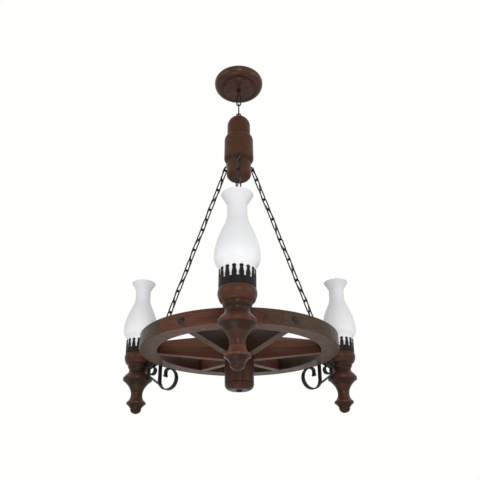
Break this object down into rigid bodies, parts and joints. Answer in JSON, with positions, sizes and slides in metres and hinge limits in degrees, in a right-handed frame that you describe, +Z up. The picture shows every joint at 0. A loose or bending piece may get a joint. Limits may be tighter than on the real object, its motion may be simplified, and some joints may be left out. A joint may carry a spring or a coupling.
{
  "type": "chandelier",
  "caption": "Wooden wagon-wheel chandelier hung on chains, with turned lamps, wrought iron scroll brackets and opal glass chimneys.",
  "frame": {"origin": "middle of the ceiling plane, on the canopy's top face", "axes": "+Z up towards the ceiling; -Y towards the front lamp; X to the right seen from the front"},
  "size_m": [0.6952, 0.6536, 1.0345],
  "materials": {
    "turned_wood": "dark stain under gloss varnish",
    "wheel_wood": "dark stain, satin",
    "black_iron": "black, semi-gloss",
    "gallery_metal": "dark bronze paint",
    "opal_glass": "opal white, glossy",
    "bulb_glass": "clear, glossy",
    "lampholder_plastic": "black moulded",
    "cable_sheath": "dark brown round sheath",
    "zinc_steel": "zinc plated",
    "connector_plastic": "pale nylon"
  },
  "bodies": {
    "ceiling": {"ceiling_bracket": "zinc_steel", "canopy": "turned_wood", "canopy_hook": "black_iron", "hook_nuts": "zinc_steel", "terminal_block": "connector_plastic"},
    "top_link_1": {"top_link_1": "black_iron"},
    "top_link_2": {"top_link_2": "black_iron"},
    "swivel_eye": {"spindle_eye": "black_iron", "eye_nut": "zinc_steel"},
    "pendant": {"lamp_nipples": "zinc_steel", "spindle": "turned_wood", "spindle_plug": "turned_wood", "hub": "turned_wood", "lamp_body_1": "turned_wood", "lamp_body_2": "turned_wood", "lamp_body_3": "turned_wood", "felloe_1": "wheel_wood", "felloe_2": "wheel_wood", "felloe_3": "wheel_wood", "felloe_4": "wheel_wood", "felloe_5": "wheel_wood", "felloe_6": "wheel_wood", "spoke_1": "wheel_wood", "spoke_2": "wheel_wood", "spoke_3": "wheel_wood", "spoke_4": "wheel_wood", "spoke_5": "wheel_wood", "spoke_6": "wheel_wood", "chain_eyes": "black_iron", "rim_bolts": "black_iron", "hub_plug": "black_iron", "bracket_screws": "black_iron", "lamp_screws": "black_iron", "lamp_buttons": "black_iron", "side_chain_1": "black_iron", "side_chain_2": "black_iron", "side_chain_3": "black_iron", "bracket_1": "black_iron", "bracket_2": "black_iron", "bracket_3": "black_iron", "brace_1": "black_iron", "brace_2": "black_iron", "brace_3": "black_iron", "gallery_1": "gallery_metal", "gallery_2": "gallery_metal", "gallery_3": "gallery_metal", "lampholder_1": "lampholder_plastic", "lampholder_2": "lampholder_plastic", "lampholder_3": "lampholder_plastic", "lamp_cable_1": "cable_sheath", "lamp_cable_2": "cable_sheath", "lamp_cable_3": "cable_sheath", "spindle_connector": "connector_plastic"},
    "chimney_1": {"chimney_1": "opal_glass"},
    "chimney_2": {"chimney_2": "opal_glass"},
    "chimney_3": {"chimney_3": "opal_glass"},
    "bulb_1": {"bulb_1": "bulb_glass"},
    "bulb_2": {"bulb_2": "bulb_glass"},
    "bulb_3": {"bulb_3": "bulb_glass"}
  },
  "joints": [
    {"name": "hook_swing", "type": "hinge", "parent": "ceiling", "child": "top_link_1", "pos_m": [0, 0, -0.0573], "axis": [0, 1, 0], "range_deg": [-20, 20]},
    {"name": "link_swing", "type": "hinge", "parent": "top_link_1", "child": "top_link_2", "pos_m": [0, 0, -0.0938], "axis": [1, 0, 0], "range_deg": [-20, 20]},
    {"name": "eye_swing", "type": "hinge", "parent": "top_link_2", "child": "swivel_eye", "pos_m": [0, 0, -0.1303], "axis": [0, 1, 0], "range_deg": [-20, 20]},
    {"name": "pendant_swivel", "type": "hinge", "parent": "swivel_eye", "child": "pendant", "pos_m": [0, 0, -0.155], "axis": [0, 0, 1], "range_deg": [-180, 180]},
    {"name": "chimney_lift_1", "type": "slide", "parent": "pendant", "child": "chimney_1", "axis": [0, 0, 1], "range_m": [0, 0.2]},
    {"name": "chimney_lift_2", "type": "slide", "parent": "pendant", "child": "chimney_2", "axis": [0, 0, 1], "range_m": [0, 0.2]},
    {"name": "chimney_lift_3", "type": "slide", "parent": "pendant", "child": "chimney_3", "axis": [0, 0, 1], "range_m": [0, 0.2]},
    {"name": "bulb_turn_1", "type": "hinge", "parent": "pendant", "child": "bulb_1", "pos_m": [0, -0.3435, -0.8255], "axis": [0, 0, 1], "range_deg": [0, 1080]},
    {"name": "bulb_turn_2", "type": "hinge", "parent": "pendant", "child": "bulb_2", "pos_m": [0.29748, 0.17175, -0.8255], "axis": [0, 0, 1], "range_deg": [0, 1080]},
    {"name": "bulb_turn_3", "type": "hinge", "parent": "pendant", "child": "bulb_3", "pos_m": [-0.29748, 0.17175, -0.8255], "axis": [0, 0, 1], "range_deg": [0, 1080]}
  ]
}
